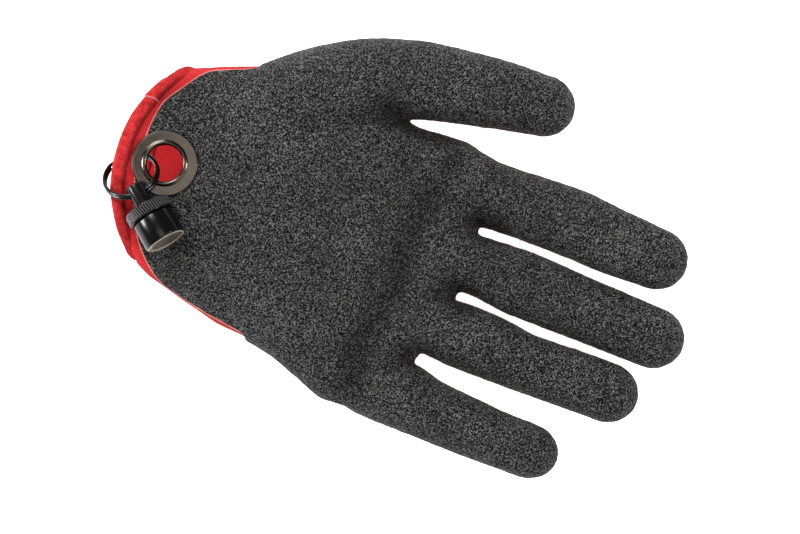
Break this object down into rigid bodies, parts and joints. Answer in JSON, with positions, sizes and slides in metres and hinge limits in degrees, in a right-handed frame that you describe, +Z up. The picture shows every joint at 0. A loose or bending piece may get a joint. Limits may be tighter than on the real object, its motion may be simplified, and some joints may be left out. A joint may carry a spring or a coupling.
{
  "type": "fishing glove",
  "caption": "Left-hand fish-handling glove, palm up: knitted liner, crinkle latex palm, eyelet near the cuff with a split ring and a magnetic clip.",
  "frame": {"origin": "on the floor under the middle of the glove's box", "axes": "+X from the cuff to the fingertips, +Y to the thumb side, +Z up out of the palm; the back of the hand lies on the floor"},
  "size_m": [0.2182, 0.144, 0.0485],
  "materials": {
    "knit": "fine red knit, matt",
    "latex": "black crinkle latex, satin",
    "hem_knit": "folded red knit, matt",
    "eyelet_metal": "gunmetal, polished",
    "washer_metal": "gunmetal",
    "ring_steel": "black steel, glossy",
    "clip_black": "black anodised, satin",
    "collar_black": "black anodised, knurled",
    "cup_black": "black anodised, smooth",
    "magnet_metal": "plated magnet face, polished"
  },
  "bodies": {
    "root": {"knit_liner": "knit", "knit_index": "knit", "knit_middle": "knit", "knit_ring": "knit", "knit_little": "knit", "knit_thumb": "knit", "palm_coating": "latex", "cuff_hem": "hem_knit", "eyelet": "eyelet_metal", "eyelet_washer": "washer_metal", "split_ring": "ring_steel", "clip_stem": "clip_black", "knurled_collar": "collar_black", "magnet_cup": "cup_black", "magnet_disc": "magnet_metal"}
  },
  "joints": []
}
